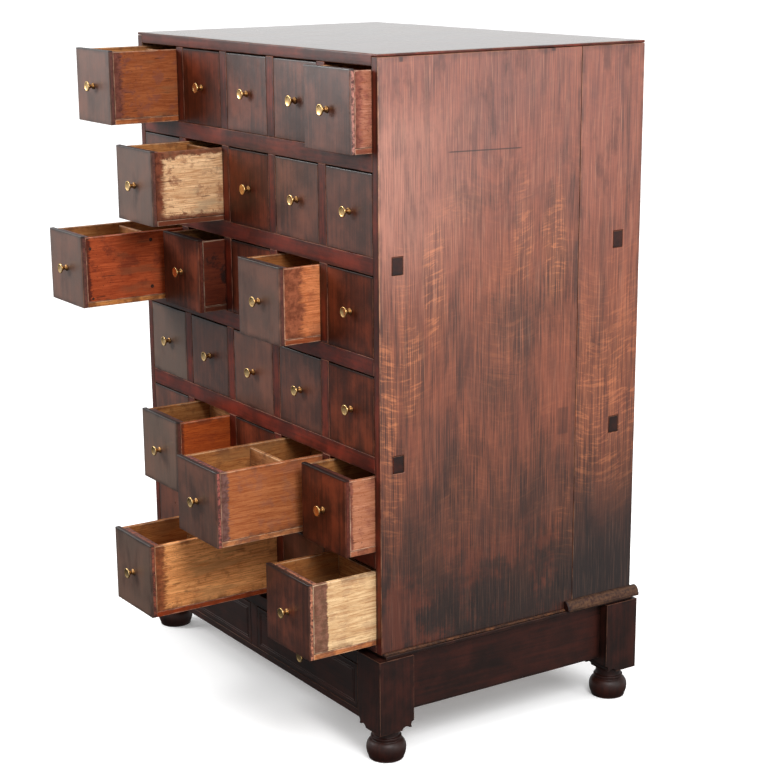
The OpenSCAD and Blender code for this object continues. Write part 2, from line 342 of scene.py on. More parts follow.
def figured(name, hand):
    """The sides: fine vertical grain, curling figure in places, soft blotches, the marks of long use, painted shade
    towards the foot and painted sheen towards the top.
    """
    net = Material(name)
    grain = net.attribute("grain")
    _, across, up = net.xyz(net.attribute("place"))
    _, streak, pores, cloud = streaks(net, grain)
    _, red, rub = net.xyz(net.attribute("tone"))
    front = net.attribute("raw", "Fac")
    rear = 1.0 - front
    g_along, g_wide, g_thin = net.xyz(grain)
    flowing = net.node("CombineXYZ", {0: g_along, 1: arch_flow(net, across, up, front), 2: across * 0.12})
    swirl = net.figure(grain, 7.0, 11.0, 3.0, 0.55)
    blotch = net.noise(net.stretch(flowing, (7.0, 18.0, 70.0)), 1.0, 6.0, 0.64, 0.3)
    fine = net.figure(grain, 9.0, 560.0, 4.0, 0.64)
    hair = net.figure(grain, 11.0, 900.0, 2.0)

    value = fine * 0.7 + streak * 0.3 + blotch * 0.75 + red * 0.08
    colour = net.mix(value.ramp(0.66, 1.14), srgb(52, 23, 16), srgb(142, 74, 50))
    colour = colour.mix(swirl.ramp(0.5, 0.75, 0.0, 0.4), srgb(128, 64, 44))

    # Curling figure, and dull dark patches
    rim = (swirl - 0.5) * 2.4
    flame, dark = ([net.oval(across, up, centre, half, rim) * amount for centre, half, amount in spots[hand]]
                   for spots in (SIDE_FLAME, SIDE_DARK))
    low = (up + blotch * 0.1).ramp(0.09, 0.46, 1.0, 0.0)
    rear_curl = rear * up.ramp(0.14, 0.28) * up.ramp(0.4, 0.7, 1.0, 0.0) * 0.55
    where = sum([front * f for f in flame], 0.16) + rear_curl
    where = (where + low * 0.3).least(1.0)
    bend = net.math("SINE", across * 30.0) * 0.012
    curled = net.node("CombineXYZ", {0: g_along + bend, 1: g_wide, 2: g_thin})
    ripple = net.figure(curled, 135.0, 24.0, 5.0, 0.66, 0.9).ramp(0.48, 0.66) * fine.ramp(0.4, 0.58, 0.35, 1.0)
    lines = fine.ramp(0.42, 0.6) * 0.6
    colour = colour.mix(where * (ripple * 0.8).most(lines), srgb(206, 126, 80))
    colour = colour.mix(where * ripple.ramp(0.0, 0.35, 0.5, 0.0), srgb(74, 36, 26))
    shade = front * sum(dark[1:], dark[0]).least(1.0) * (fine + blotch * 0.5).ramp(0.66, 0.94, 1.0, 0.5)
    colour = colour.mix(shade * 0.66, srgb(52, 31, 26))
    colour = colour.mix(blotch.ramp(0.55, 0.76, 0.0, 0.5), srgb(54, 30, 25))

    # Blackened foot with a warm glow in places: darker towards the bottom, partly the wood's own blackening and
    # partly painted shade
    glow = (net.noise(grain, 11.0, 5.0, 0.65) + fine * 0.5).ramp(0.72, 0.88)
    glow = glow * up.ramp(0.12, 0.26, 1.0, 0.0) * front
    colour = colour.mix(low * 0.95, net.mix(glow, srgb(19, 10, 7), srgb(78, 34, 20)))
    # The rear board is darker towards the bottom too, partly painted shade.
    colour = colour.mix(rear * (up + blotch * 0.2).ramp(0.16, 0.4, 0.85, 0.0), srgb(30, 20, 18))

    # A painted sheen that greys the top and front, clouds, veins, hair lines, and a painted highlight on the upper
    # front corner
    high = (up + cloud * 0.24 + fine * 0.3 + across * -0.25).ramp(0.75, 1.15, 0.0, 0.34)
    colour = colour.mix(high, srgb(142, 92, 84))
    clouded = net.figure(grain, 10.0, 24.0, 5.0, 0.66).ramp(0.5, 0.66) * up.ramp(0.6, 0.8) * 0.55
    colour = colour.mix(clouded, srgb(62, 32, 28))
    veins = net.figure(grain, 3.2, 60.0, 4.0, 0.6).ramp(0.54, 0.7)
    colour = colour.mix(veins * 0.42, srgb(46, 25, 21))
    calm = up.ramp(0.3, 0.75, 0.35, 1.0)
    colour = colour.mix(hair.ramp(0.58, 0.7, 0.0, 0.34) * calm, srgb(206, 146, 116))
    colour = colour.mix(hair.ramp(0.3, 0.42, 0.4, 0.0) * calm, srgb(40, 22, 18))
    # Painted highlight: paler wood in the upper front corner.
    pale = front * across.ramp(0.0, 0.26, 0.4, 0.0) * up.ramp(0.55, 0.76) * up.ramp(0.86, 0.96, 1.0, 0.0)
    colour = colour.mix(pale * (fine + blotch * 0.6).ramp(0.66, 0.9, 0.35, 1.0), srgb(196, 138, 118))
    colour = colour.mix(pores.ramp(0.6, 0.75, 0.0, 0.3), srgb(40, 20, 16))

    worn, distance = wear(net, 0.003, 1.0)
    corner = across.ramp(0.0012, 0.003, 1.0, 0.0) * up.ramp(0.46, 0.6)
    corner = corner * net.noise(grain, 55.0).ramp(0.4, 0.52) * rub
    colour = colour.mix((worn * 0.4).most(corner * 0.7), srgb(176, 128, 92))
    if hand > 0:
        for mark in (front * net.block(across, up, (383, 355.5), (10, 22), 4) * 0.55,
                     front * net.stroke(across, up, (133, 841), (290, 838), 1.5),
                     front * net.stroke(across, up, (230, 462), (290, 450), 1.0) * 0.4,
                     front * net.block(across, up, (45, 993), (2.5, 3), 2),
                     front * net.block(across, up, (350, 996), (3, 2), 2)):
            colour = colour.mix(mark * 0.78, srgb(30, 13, 11))
    dirt = distance.ramp(0.001, 0.012, 1.0, 0.0) * cloud.ramp(0.4, 0.6)
    colour = colour.mix(dirt * 0.45, srgb(38, 17, 13))
    roughness = 0.34 + cloud * 0.16 + worn * 0.15 + blotch * 0.12
    normal = net.bump(pores * 0.6 + fine * 0.6, 0.25, 0.0006)
    return net.finish(colour, roughness, net.bump(blotch, 0.15, 0.002, normal), coat=0.22, coat_roughness=0.3)


def bare(name):
    """Unfinished drawer wood. tint is its own colour and stain the colour rubbed into its front end."""
    net = Material(name)
    grain = net.attribute("grain")
    behind = net.xyz(net.attribute("place"))[1]
    width, ragged, marks = net.xyz(net.attribute("strip"))
    broad, streak, pores, cloud = streaks(net, grain)
    tint, stain = net.attribute("tint"), net.attribute("stain")
    deep = tint.mix(1.0, (0.58, 0.4, 0.29, 1.0), "MULTIPLY")
    pale = tint.mix(1.0, (1.2, 1.18, 1.16, 1.0), "MULTIPLY")
    colour = deep.mix((streak * 0.8 + broad * 0.4).ramp(0.42, 0.86), pale).mix(0.35, tint)
    colour = colour.mix(net.figure(grain, 26.0, 520.0, 4.0, 0.65).ramp(0.46, 0.62, 0.0, 0.85), deep)
    fleck = net.figure(grain, 120.0, 900.0, 2.0, 0.6).ramp(0.58, 0.68, 0.0, 0.45)
    colour = colour.mix(fleck, deep.mix(1.0, (0.6, 0.5, 0.45, 1.0), "MULTIPLY"))
    brown = net.figure(grain, 11.0, 95.0, 4.0, 0.6).ramp(0.56, 0.7)
    colour = colour.mix(brown * (0.2 + marks * 0.5), deep)
    lens = net.figure(grain, 24.0, 240.0, 1.0).ramp(0.71, 0.76)
    colour = colour.mix(lens * marks * 0.8, srgb(66, 32, 20))
    blot = net.noise(grain, 34.0, 5.0, 0.68)
    colour = colour.mix(blot.ramp(0.5, 0.64) * (0.08 + marks * 0.5), stain)
    smudge = net.figure(grain, 9.0, 42.0, 4.0, 0.62).ramp(0.52, 0.64) * behind.ramp(0.045, 0.085) * marks * 0.75
    colour = colour.mix(smudge, net.mix(0.45, srgb(88, 66, 46), tint))
    specks = net.noise(grain, 330.0, 3.0, 0.6).ramp(0.62, 0.7) * behind.ramp(0.02, 0.09, 0.9, 0.25)
    colour = colour.mix(specks * marks, srgb(58, 28, 20))

    # Finish that ran over the front end
    fray = net.figure(grain, 30.0, 260.0, 4.0, 0.7)
    edge = behind + (blot * 0.6 + fray * 0.7 - 0.65) * ragged * 5.0
    strip = ((edge - width) / ragged.most(0.001)).ramp(-0.5, 0.5, 1.0, 0.0)
    strip = strip * width.ramp(0.0005, 0.002) * specks.ramp(0.0, 0.8, 1.0, 0.75)
    stray = behind.ramp(0.012, 0.075, 1.0, 0.0) * ragged.ramp(0.003, 0.008) * 0.7
    stray = stray * (blot * 0.5 + fray * 0.5).ramp(0.5, 0.6)
    smear = stain.mix(net.noise(grain, 95.0, 4.0, 0.7).ramp(0.36, 0.64),
                      stain.mix(1.0, (0.42, 0.36, 0.36, 1.0), "MULTIPLY"))
    colour = colour.mix(strip.most(stray) * 0.9, smear)

    worn, distance = wear(net, 0.004, 1.0)
    border = net.attribute("raw", "Fac")
    rim = distance + (blot - 0.5) * 0.05
    colour = colour.mix(border * rim.ramp(0.006, 0.012, 0.9, 0.0), smear)
    colour = colour.mix(worn * (1.0 - border) * 0.45, pale.mix(0.5, (0.8, 0.66, 0.48, 1.0)))
    grime = distance.ramp(0.0005, 0.011, 1.0, 0.0) * blot.ramp(0.4, 0.6)
    colour = colour.mix(grime * 0.55, srgb(84, 44, 28))
    normal = net.bump(pores * 0.6 + streak * 0.9 + blot * 0.3, 0.4, 0.0008)
    return net.finish(colour, 0.58 + cloud * 0.22, normal, specular=0.2)


def plain_wood(name):
    """Rough secondary wood of the back and the parts under the cabinet."""
    net = Material(name)
    grain = net.attribute("grain")
    broad, streak, pores, cloud = streaks(net, grain)
    lift = net.xyz(net.attribute("tone"))[0]
    value = streak * 0.7 + broad * 0.5 + lift * 0.2
    colour = net.mix(value.ramp(0.4, 0.85), srgb(74, 48, 33), srgb(150, 108, 74))
    colour = colour.mix(net.figure(grain, 3.0, 10.0, 5.0, 0.65).ramp(0.5, 0.72, 0.0, 0.7), srgb(56, 36, 27))
    knots = net.node("TexVoronoi", {"Vector": net.stretch(grain, (4.5, 11.0, 11.0)), "Scale": 1.0}, "Distance")
    colour = colour.mix(knots.ramp(0.05, 0.1, 0.75, 0.0), srgb(48, 27, 18))
    worn, distance = wear(net, 0.004, 0.8)
    colour = colour.mix(worn * 0.5, srgb(172, 134, 96))
    colour = colour.mix(distance.ramp(0.001, 0.02, 0.55, 0.0), srgb(50, 33, 25))
    normal = net.bump(pores * 0.5 + streak + cloud * 0.4, 0.5, 0.001)
    return net.finish(colour, 0.66 + cloud * 0.2, normal, specular=0.3)


def brass(name):
    """Turned brass, bright on the face and dull in the neck."""
    net = Material(name)
    grain = net.attribute("grain")
    out = net.xyz(net.attribute("place"))[1]
    cloud = net.noise(grain, 220.0, 4.0, 0.6)
    turned = net.figure(grain, 30.0, 2600.0, 1.0)
    colour = net.mix(cloud.ramp(0.35, 0.7), (0.82, 0.57, 0.26, 1.0), (0.56, 0.33, 0.12, 1.0))
    dull = out.ramp(0.0045, 0.0085).most(cloud.ramp(0.62, 0.75, 0.0, 0.5))
    colour = colour.mix(dull * 0.9, (0.3, 0.15, 0.055, 1.0))
    normal = net.bump(turned * 0.5 + cloud, 0.12, 0.0002)
    return net.finish(colour, 0.16 + cloud * 0.18 + dull * 0.2, normal, metallic=1.0)


def iron(name):
    """Rusted nail heads."""
    net = Material(name)
    rust = net.noise(net.attribute("grain"), 500.0, 4.0, 0.7)
    colour = net.mix(rust.ramp(0.4, 0.65), srgb(34, 27, 25), srgb(92, 52, 34))
    return net.finish(colour, 0.5 + rust * 0.3, net.bump(rust, 0.5, 0.0004), metallic=0.55)


FRONT_WOOD = (srgb(50, 28, 21), srgb(80, 45, 33), srgb(114, 63, 44), srgb(160, 108, 82))

MATERIALS = {
    "front": polished("drawer_front_wood", *FRONT_WOOD, 0.28, worn_by=0.55, coat=0.08, coat_gloss=0.18,
                      top_shade=0.85),
    "dull_front": polished("dull_front_wood", *FRONT_WOOD, 0.34, worn_by=0.55, top_shade=0.85, specular=0.16),
    "carcase": polished("carcase_wood", srgb(44, 17, 11), srgb(78, 30, 20), srgb(120, 47, 29),
                        srgb(156, 104, 80), 0.32, worn_by=0.75, specular=0.3),
    "top": polished("top_wood", srgb(34, 21, 17), srgb(66, 44, 34), srgb(84, 54, 40),
                    srgb(150, 120, 96), 0.24, coat=0.8, coat_gloss=0.1),
    "base": polished("base_wood", srgb(16, 8, 6), srgb(38, 18, 13), srgb(58, 26, 18),
                     srgb(112, 72, 52), 0.4, worn_by=0.6, specular=0.3),
    "right_side": figured("right_side_wood", 1),
    "left_side": figured("left_side_wood", -1),
    "bare": bare("drawer_box_wood"),
    "plain": plain_wood("back_wood"),
    "brass": brass("knob_brass"),
    "iron": iron("nail_iron"),
}


# ---------------------------------------------------------------- shapes

VECTORS = ("grain", "place", "extent", "tone", "tint", "stain", "strip")
FLOATS = ("wear", "raw")


class Look:
    """What the materials read from a board: tone is (lift, redness, rub)."""

    def __init__(self, tone=None, tint=(120, 60, 45), stain=(80, 34, 26), strip=(0, 0, 0), raw=0.0):
        self.tone = rng.uniform((-1, 0, 0.2), (1, 1, 1)) if tone is None else np.array(tone, float)
        self.tint = np.array(srgb(*tint)[:3])
        self.stain = np.array(srgb(*stain)[:3])
        self.strip = np.array(strip, float) * (MM, MM, 1)
        self.raw = raw


class Piece:
    """Gathers the parts of one Blender object, which stands in for a CAD node."""

    def __init__(self, node, part="piece", body="cabinet"):
        self.node, self.name, self.body = node, f"{node}_{part}", body
        self.points, self.faces, self.face_materials, self.materials = [], [], [], []
        self.data = {key: [] for key in VECTORS + FLOATS}

    def add(self, points, faces, materials, grain, look, worn=0.0, low=None, size=None):
        """grain is the axis that the wood's grain runs along. materials is one key, or one for each face."""
        first = sum(len(p) for p in self.points)
        low = points.min(0) if low is None else low
        size = np.ptp(points, axis=0) if size is None else size
        order = [grain, *sorted({0, 1, 2} - {grain}, key=lambda a: -size[a])]
        offset = rng.uniform(-6, 6, 3)
        self.points.append(points)
        self.faces += [[first + i for i in face] for face in faces]
        keys = [materials] * len(faces) if isinstance(materials, str) else materials
        self.materials += [key for key in dict.fromkeys(keys) if key not in self.materials]
        self.face_materials += [self.materials.index(key) for key in keys]
        rows = {"grain": (points[:, order] - (low + size / 2)[order]) * MM + offset,
                "place": (points - low) * MM, "extent": size * MM, "tone": look.tone, "tint": look.tint, "stain": look.stain,
                "strip": look.strip, "wear": worn, "raw": look.raw}
        for key, values in rows.items():
            self.data[key].append(np.zeros((len(points), 3) if key in VECTORS else len(points)) + values)

    def make(self, slot):
        mesh = bpy.data.meshes.new(self.name)
        mesh.from_pydata((np.concatenate(self.points) * MM).tolist(), [], self.faces)
        for key in self.materials:
            mesh.materials.append(MATERIALS[key])
        mesh.polygons.foreach_set("material_index", self.face_materials)
        for key, values in self.data.items():
            kind, field = ("FLOAT_VECTOR", "vector") if key in VECTORS else ("FLOAT", "value")
            layer = mesh.attributes.new(key, kind, "POINT")
            layer.data.foreach_set(field, np.concatenate(values).astype(np.float32).ravel())
        mesh.polygons.foreach_set("use_smooth", [True] * len(mesh.polygons))
        mesh.update()
        weigh_normals(mesh)
        piece = bpy.data.objects.new(self.name, mesh)
        bpy.context.scene.collection.objects.link(piece)
        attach(piece, self.body)
        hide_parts(self.node)


def weigh_normals(mesh):
    """Vertex normals weighted by face area, so that flat faces stay flat beside their eased edges."""
    faces = len(mesh.polygons)
    normal, area, total = np.empty(faces * 3), np.empty(faces), np.empty(faces, int)
    for key, values in (("normal", normal), ("area", area), ("loop_total", total)):
        mesh.polygons.foreach_get(key, values)
    corner = np.empty(len(mesh.loops), int)
    mesh.loops.foreach_get("vertex_index", corner)
    summed = np.zeros((len(mesh.vertices), 3))
    np.add.at(summed, corner, np.repeat(normal.reshape(-1, 3) * area[:, None], total, axis=0))
    summed /= np.maximum(np.linalg.norm(summed, axis=1, keepdims=True), 1e-15)
    mesh.normals_split_custom_set_from_vertices(summed.tolist())


def waver(points, length, seed):
    """Smooth pseudo-random values from 0 to 1, which change over about length millimetres."""
    local = np.random.default_rng(seed)
    total = np.zeros(len(points))
    for _ in range(4):
        direction = local.normal(size=3)
        direction /= np.linalg.norm(direction)
        wave = 2 * np.pi * local.uniform(0.6, 1.5) / length
        total += np.sin(points @ direction * wave + local.uniform(0, 2 * np.pi))
    return np.clip(0.5 + total / 6, 0, 1)


def corners_of(boxes):
    """Lowest and highest corner of several boxes together."""
    return np.min([low for low, _ in boxes], axis=0), np.max([high for _, high in boxes], axis=0)


def solid(boxes, holes=(), ease=0.8, pitch=30.0, wobble=0.2, chip=None):
    """Boundary of a union of boxes less holes, each (low, high), with eased edges.

    Returns the points, faces, how much each point is on an outer edge, and each face's axis and side.
    chip(points, outward) may return more inward movement for each point."""
    low, high = corners_of(boxes)
    cuts = []
    for a in range(3):
        planes = sorted({round(float(b[end][a]), 4) for b in [*boxes, *holes] for end in (0, 1)
                         if low[a] - 1e-6 <= b[end][a] <= high[a] + 1e-6})
        marks = set()
        for start, end in zip(planes, planes[1:]):
            r = min(ease, (end - start) / 3)
            steps = max(1, round((end - start - 2 * r) / pitch))
            marks |= {round(float(v), 4) for v in (start, *np.linspace(start + r, end - r, steps + 1), end)}
        cuts.append(np.array(sorted(marks)))
    middles = np.meshgrid(*[(c[1:] + c[:-1]) / 2 for c in cuts], indexing="ij")
    full = np.zeros(middles[0].shape, bool)
    for group, value in ((boxes, True), (holes, False)):
        for b_low, b_high in group:
            inside = np.ones(full.shape, bool)
            for a in range(3):
                inside &= (middles[a] > b_low[a]) & (middles[a] < b_high[a])
            full[inside] = value
    pad = np.pad(full, 1)
    counts = [len(c) for c in cuts]
    around = np.zeros(counts)
    inward = np.zeros((*counts, 3))
    for corner in np.ndindex(2, 2, 2):
        cell = pad[tuple(slice(c, c + n) for c, n in zip(corner, counts))].astype(float)
        around += cell
        for a in range(3):
            inward[..., a] += cell * (1 if corner[a] else -1)
    quads, sides = [], []
    for a in range(3):
        b, c = (a + 1) % 3, (a + 2) % 3
        before = np.moveaxis(pad, (a, b, c), (0, 1, 2))[:, 1:-1, 1:-1]
        change = before[1:].astype(int) - before[:-1].astype(int)
        for side in (1, -1):
            at = np.argwhere(change == -side)
            ring = [(0, 0), (1, 0), (1, 1), (0, 1)] if side > 0 else [(0, 0), (0, 1), (1, 1), (1, 0)]
            index = np.zeros((len(at), 4, 3), int)
            for k, (db, dc) in enumerate(ring):
                index[:, k, a] = at[:, 0]
                index[:, k, b] = at[:, 1] + db
                index[:, k, c] = at[:, 2] + dc
            quads.append(np.ravel_multi_index(np.moveaxis(index, 2, 0), counts))
            sides += [(a, side, round(float(cuts[a][i]), 4)) for i in at[:, 0]]
    quads = np.concatenate(quads)
    used, faces = np.unique(quads, return_inverse=True)
    faces = faces.reshape(-1, 4)
    where = np.unravel_index(used, counts)
    points = np.stack([cuts[a][where[a]] for a in range(3)], axis=1)
    around, toward = around[where], np.sign(inward[where])
    seed = int(rng.integers(1 << 30))
    pull = np.select([around == 1, around == 2, around == 3], [0.42, 0.3, 0.3], 0.0) * ease
    uneven = 0.6 + 1.3 * waver(points, 70.0, seed) ** 2
    amount = (pull * uneven)[:, None] + wobble * np.stack(
        [waver(points, 160.0, seed + 1 + a) for a in range(3)], axis=1)
    if chip is not None:
        amount = amount + chip(points, -toward)
    return points + toward * amount, faces.tolist(), (around < 4).astype(float), sides


def board(piece, low, size, material, grain, look=None, **shape):
    low = np.array(low, float)
    add_solid(piece, [(low, low + size)], material, grain, look, **shape)


def add_solid(piece, boxes, material, grain, look=None, ends=None, **shape):
    """Adds a union of boxes. ends is {(axis, side): material} for outer faces that differ."""
    look = look or Look()
    points, faces, worn, sides = solid(boxes, **shape)
    low, high = corners_of(boxes)
    materials = material
    if ends:
        materials = []
        for a, side, at in sides:
            outer = abs(at - (high[a] if side > 0 else low[a])) < 0.01
            materials.append(ends.get((a, side), material) if outer else material)
    piece.add(points, faces, materials, grain, look, worn, low, high - low)


def lathe(piece, profile, origin, axis, material, look=None, segments=36, grain=2, wave=0.0):
    """Turns (radius, distance) pairs round an axis through origin. The profile starts and ends on the axis."""
    origin, out = np.array(origin, float), np.array(axis, float)
    side = np.array([1.0, 0, 0]) if abs(out[0]) < 0.5 else np.array([0, 1.0, 0])
    up = np.cross(out, side)
    angles = np.arange(segments) * 2 * np.pi / segments
    circle = np.array([math.cos(t) * side + math.sin(t) * up for t in angles])
    seed = int(rng.integers(1 << 30))
    points = [origin + out * profile[0][1]]
    for radius, height in profile[1:-1]:
        centre = origin + out * height
        spread = radius * circle
        points += list(centre + spread * (1 - wave * waver(centre + spread, 25.0, seed)[:, None]))
    points.append(origin + out * profile[-1][1])
    last_ring = len(points) - 1 - segments
    faces = []
    for k in range(segments):
        n = (k + 1) % segments
        faces.append([0, 1 + n, 1 + k])
        faces += [[a + k, a + n, a + segments + n, a + segments + k] for a in range(1, last_ring, segments)]
        faces.append([last_ring + k, last_ring + n, len(points) - 1])
    piece.add(np.array(points), faces, material, grain, look or Look())


def sweep(piece, outline, start, end, material, look=None, mirror=False):
    """Runs an (x, z) outline, anticlockwise seen from the front, along y from start to end."""
    pitch = 20.0
    steps = max(2, round((end - start) / pitch))
    stations = [start, start + 0.8, *np.linspace(start + pitch / 2, end - pitch / 2, steps), end - 0.8, end]
    outline = np.insert(outline, 1, 0.0, axis=1)
    inward = outline.mean(0) - outline
    inward /= np.maximum(np.linalg.norm(inward, axis=1, keepdims=True), 1e-9)
    seed = int(rng.integers(1 << 30))
    points = []
    for y in stations:
        shrink = 0.7 if y in (start, end) else 0.0
        ring = outline + (0, y, 0)
        points.append(ring + inward * (shrink + 0.3 * waver(ring, 60.0, seed))[:, None])
    points = np.concatenate(points)
    n = len(outline)
    faces = [[i * n + k, i * n + (k + 1) % n, (i + 1) * n + (k + 1) % n, (i + 1) * n + k]
             for i in range(len(stations) - 1) for k in range(n)]
    faces += [list(range(n))[::-1], [len(points) - n + k for k in range(n)]]
    if mirror:
        points[:, 0] *= -1
        faces = [face[::-1] for face in faces]
    piece.add(points, faces, material, 1, look or Look())


def from_cad(piece, material, grain, look, ease):
    """Each solid of the piece's CAD node with its flat faces merged and its sharp edges eased."""
    work = bmesh.new()
    work.from_mesh(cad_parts[piece.node].data)
    bmesh.ops.remove_doubles(work, verts=work.verts, dist=1e-6)
    bmesh.ops.dissolve_limit(work, angle_limit=math.radians(0.5), verts=work.verts, edges=work.edges)
    sharp = [e for e in work.edges if len(e.link_faces) == 2 and e.calc_face_angle() > math.radians(25)]
    bmesh.ops.bevel(work, geom=sharp, offset=ease * MM, segments=2, profile=0.5, affect="EDGES",
                    clamp_overlap=True)
    bmesh.ops.recalc_face_normals(work, faces=work.faces)
    todo = set(work.verts)
    while todo:
        island, stack = [], [min(todo, key=lambda v: v.index)]
        todo.discard(stack[0])
        while stack:
            vert = stack.pop()
            island.append(vert)
            for edge in vert.link_edges:
                other = edge.other_vert(vert)
                if other in todo:
                    todo.discard(other)
                    stack.append(other)
        number = {v: i for i, v in enumerate(island)}
        faces = sorted({f for v in island for f in v.link_faces}, key=lambda f: f.index)
        piece.add(np.array([v.co for v in island]) / MM, [[number[v] for v in f.verts] for f in faces],
                  material, grain, look)
    work.free()


def nail(piece, at, axis, radius=2.3, proud=0.3):
    profile = [(0, -1.5), (radius, -1.5), (radius, 0.0), (radius * 0.8, proud * 0.7), (0, proud)]
    lathe(piece, profile, at, axis, "iron", segments=14)


# ---------------------------------------------------------------- drawers

# Drawers that stand open: the wood of the sides, its stain, the stained strip (width behind the lip, how
# ragged, how marked), and the colour of the bottom board's edge.
OPEN_SIDES = {
    "r1c1": ((160, 92, 50), (116, 66, 56), (16, 7, 0.9), (176, 106, 60)),
    "r1c5": ((172, 116, 94), (134, 74, 62), (12, 9, 0.9), (150, 88, 66)),
    "r2c2": ((240, 204, 160), (122, 62, 40), (15, 10, 1.0), (120, 64, 42)),
    "r3c1": ((180, 84, 44), (92, 36, 24), (7, 5, 0.9), (206, 138, 76)),
    "r3c2": ((92, 38, 17), (22, 9, 6), (0, 0, 1.6), (96, 44, 24)),
    "r3c4": ((212, 132, 84), (150, 84, 58), (34, 12, 0.6), (160, 88, 52)),
    "r5c2": ((172, 82, 30), (116, 48, 24), (6, 4, 0.5), (190, 110, 54)),
    "r5c4": ((180, 112, 68), (112, 82, 78), (14, 5, 0.3), (206, 142, 94)),
    "r5c5": ((190, 132, 102), (128, 72, 58), (5, 3, 0.8), (176, 112, 82)),
    "r6c3": ((250, 178, 112), (136, 68, 40), (18, 8, 0.7), (170, 76, 34)),
    "r6c5": ((232, 200, 154), (122, 76, 64), (28, 3, 0.3), (196, 128, 80)),
}
LIP_WOODS = {"r1c5": (180, 118, 102), "r2c2": (104, 56, 40), "r3c1": (112, 60, 48), "r5c4": (156, 82, 70),
             "r6c3": (156, 80, 54), "r6c5": (196, 124, 92)}
PLAIN_LIP = (98, 50, 38)
BORDERED = ("r2c2",)
LOST_KNOB = "r6c1"
SCREW_HOLE = (2.8, 1.6, 12.0)
INSIDE_WOODS = [(176, 124, 72), (166, 112, 62), (184, 132, 84)]
SPARE_WOODS = [(180, 118, 72), (196, 140, 94), (160, 98, 62), (206, 156, 108)]
NAILED = {"r3c1": [(18, 0.82), (143, 0.86), (20, 0.12), (143, 0.2)]}
CHIPPED_BOTTOM = {"r5c4": (50, 125, 7.0), "r6c3": (190, 225, 3.0)}

# Fronts that are plainly redder or darker than the rest: (lift, redness). They are partly the fronts' own colour and
# partly painted light: high redness is painted shade on fronts beside open drawers, and high lift with negative
# redness is a painted grey reflection on fronts that stand out.
FRONT_TONES = {"r1c1": (0.7, -0.4), "r1c2": (-0.3, 1.0), "r1c3": (-0.6, 0.4), "r2c2": (0.9, -0.6),
               "r2c3": (-0.6, 1.0), "r3c1": (0.8, -0.5), "r3c2": (-0.4, 0.8), "r3c3": (-0.3, 0.9),
               "r3c4": (0.8, -0.4), "r3c5": (-0.6, 1.0), "r4c1": (1.0, -0.9), "r4c3": (0.6, -0.2),
               "r4c5": (-0.6, 0.8), "r5c2": (0.4, -1.0), "r5c3": (-0.2, 0.9), "r5c4": (0.2, -0.3),
               "r5c5": (-0.6, 1.0), "r6c3": (0.8, -0.8), "r6c5": (-0.4, 0.5)}
# Redness from which a front has lost its shine.
DULL_FROM = 0.7


def front_tone(tag):
    """Lift, redness and rub of a front."""
    lift, red, rub = rng.uniform((-0.4, 0.0, 0.3), (0.5, 0.3, 0.9))
    return (*FRONT_TONES.get(tag, (0.6 * lift, red)), rub)


def screw_hole(x, y, z):
    """A roughly round hole into a face at y, as two crossed boxes."""
    wide, narrow, deep = SCREW_HOLE
    return [((x - a / 2, y - 1, z - b / 2), (x + a / 2, y + deep, z + b / 2))
            for a, b in ((wide, narrow), (narrow, wide))]


def drawer_box(name, low, high, wall, rear_drop, dividers, looks, floor_look, chips=None, nails=()):
    """Sides, bottom, rear and dividers of a drawer whose face stands at low.y."""
    piece = Piece(name, "box", name)
    (x0, y0, z0), (x1, y1, z1) = low, high
    start, floor = y0 + LIP + GLUE, z0 + FLOOR_T + GLUE
    side_h = z1 - SIDE_DROP - floor
    outer_look, inner_look = looks

    def chip(points, outward):
        """Lifts the underside of the bottom board's right edge over a length, raggedly."""
        start, end, depth = chips
        behind = points[:, 1] - y0
        bite = np.clip(np.minimum(behind - start, end - behind) / 14.0, 0, 1)
        moved = np.zeros(points.shape)
        moved[:, 2] = np.where((outward[:, 2] < 0) & (points[:, 0] > x1 - wall),
                               bite * depth * waver(points, 22.0, 77), 0)
        return moved

    for x, look in ((x0, inner_look), (x1 - wall, outer_look)):
        board(piece, (x, start, floor), (wall, y1 - start, side_h), "bare", 1, look(),
              wobble=0.35, ease=1.1, pitch=26)
    board(piece, (x0, start, z0), (x1 - x0, y1 - start, FLOOR_T), "bare", 1, floor_look, wobble=0.35,
          **({"chip": chip, "pitch": 9} if chips else {}))
    # Between the sides the bottom board has the colour of the inside.
    across = piece.points[-1][:, 0]
    piece.data["tint"][-1][(across > x0 + wall) & (across < x1 - wall)] = inner_look().tint
    inner_x, inner_w = x0 + wall + GLUE, x1 - x0 - 2 * wall - 2 * GLUE
    board(piece, (inner_x, y1 - REAR_T, floor), (inner_w, REAR_T, side_h - rear_drop), "bare", 0, inner_look(),
          wobble=0.3, ease=1.0)
    for behind in dividers:
        board(piece, (inner_x, y0 + behind, floor), (inner_w, DIVIDER_T, side_h - DIVIDER_DROP), "bare", 0,
              inner_look(), wobble=0.3)
    for behind, share in nails:
        nail(piece, (x1 - 0.25, y0 + behind, z0 + share * (z1 - z0)), (1, 0, 0), 3.6, 0.2)
    piece.make("drawer_box_wood")


